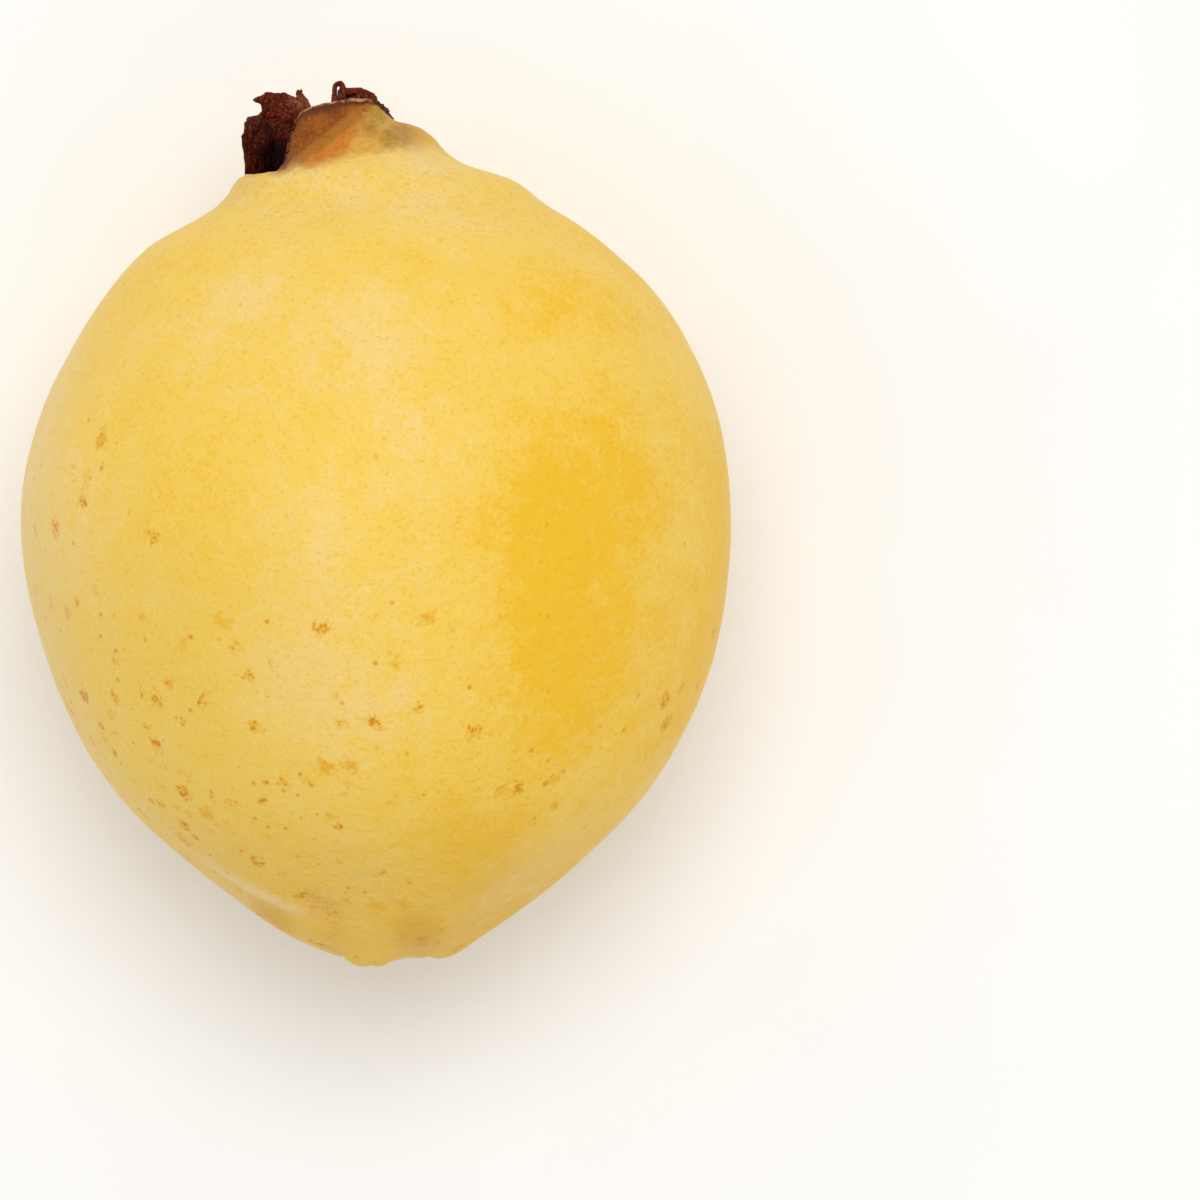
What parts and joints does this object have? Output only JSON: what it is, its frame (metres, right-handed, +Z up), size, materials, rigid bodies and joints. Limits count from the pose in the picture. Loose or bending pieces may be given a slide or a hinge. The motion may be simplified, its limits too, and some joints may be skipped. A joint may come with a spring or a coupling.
{
  "type": "guava",
  "caption": "Whole ripe guava lying on its side: a smooth, slightly pear-shaped fruit with a stem pit at one end and a torn, dried calyx cup at the other.",
  "frame": {"origin": "under the middle of the whole object's box, on the surface that the fruit rests on", "axes": "+Y along the fruit from the stem end to the flower end, +Z up, +X to the right when seen from above with the flower end away from the viewer"},
  "size_m": [0.0592, 0.0738, 0.0569],
  "materials": {
    "skin": "waxy",
    "dry_calyx": "matte"
  },
  "bodies": {
    "root": {"fruit": "skin", "calyx": "dry_calyx"}
  },
  "joints": []
}
